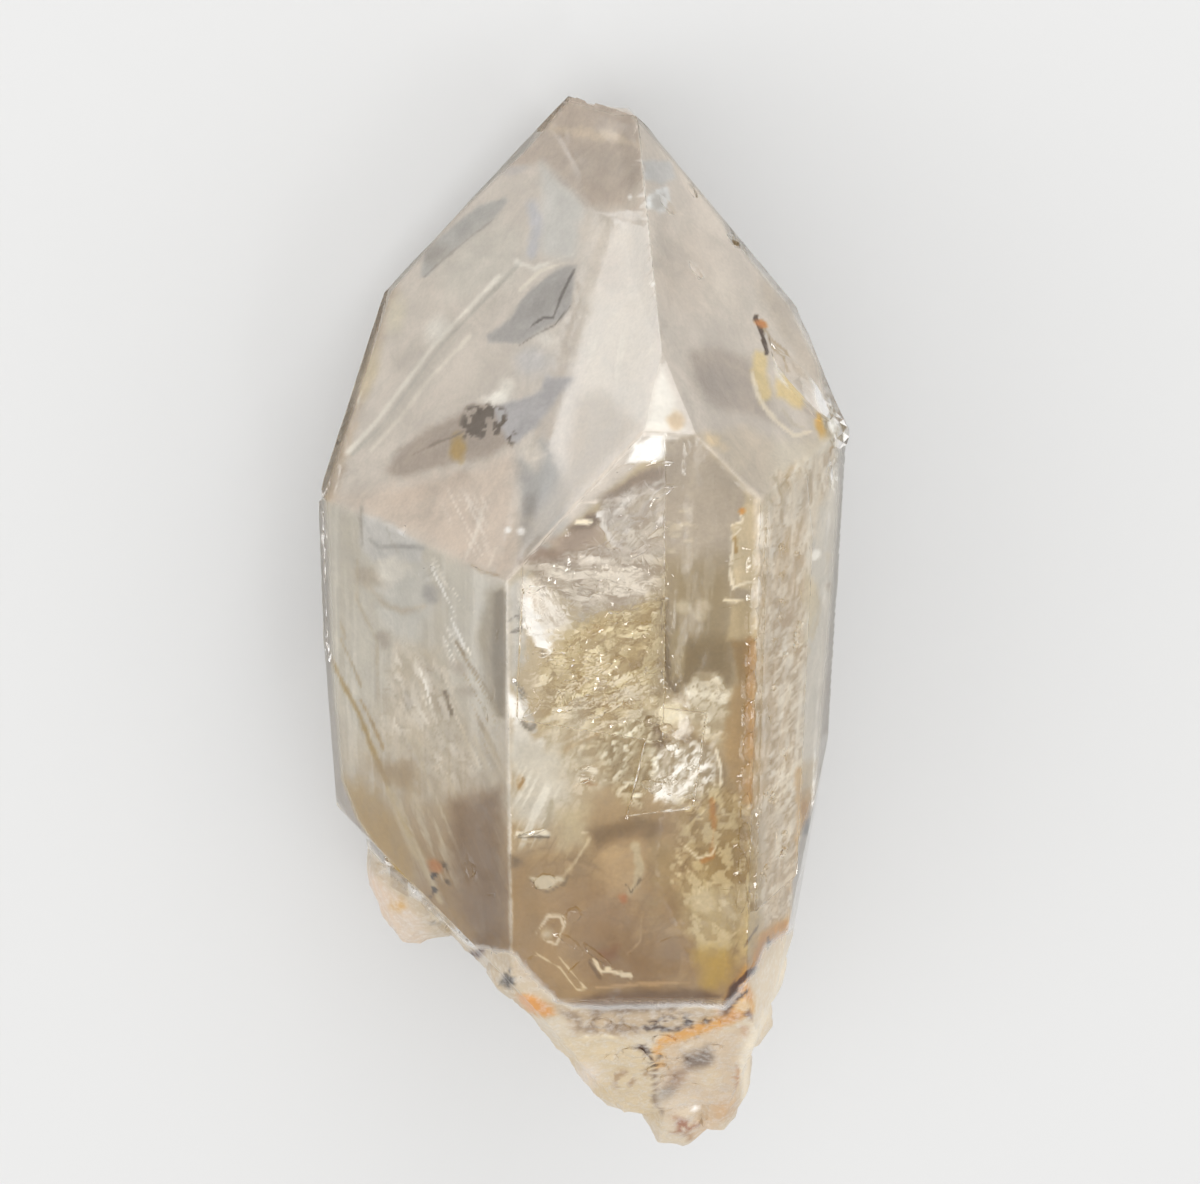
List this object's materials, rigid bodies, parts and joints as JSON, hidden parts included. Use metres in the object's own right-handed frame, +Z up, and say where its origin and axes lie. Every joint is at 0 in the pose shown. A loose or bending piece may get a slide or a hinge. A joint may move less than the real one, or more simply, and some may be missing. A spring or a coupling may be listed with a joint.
{
  "type": "enhydro quartz crystal",
  "caption": "Natural clear to milky quartz crystal with fluid pockets, a chipped pointed tip and a broken, iron-stained root, lying on one flat prism face.",
  "frame": {"origin": "centre of the bounding box's underside, on the plane of the prism face that the crystal lies on", "axes": "+Y along the crystal's growth axis towards its tip, +Z up out of its broad front prism face, +X to the right of that face"},
  "size_m": [0.0272, 0.056, 0.0248],
  "materials": {
    "quartz": "clear, slightly smoky quartz: glossy crystal faces with etched hillocks, milky rough root, iron stains"
  },
  "bodies": {
    "root": {"crystal": "quartz"}
  },
  "joints": []
}
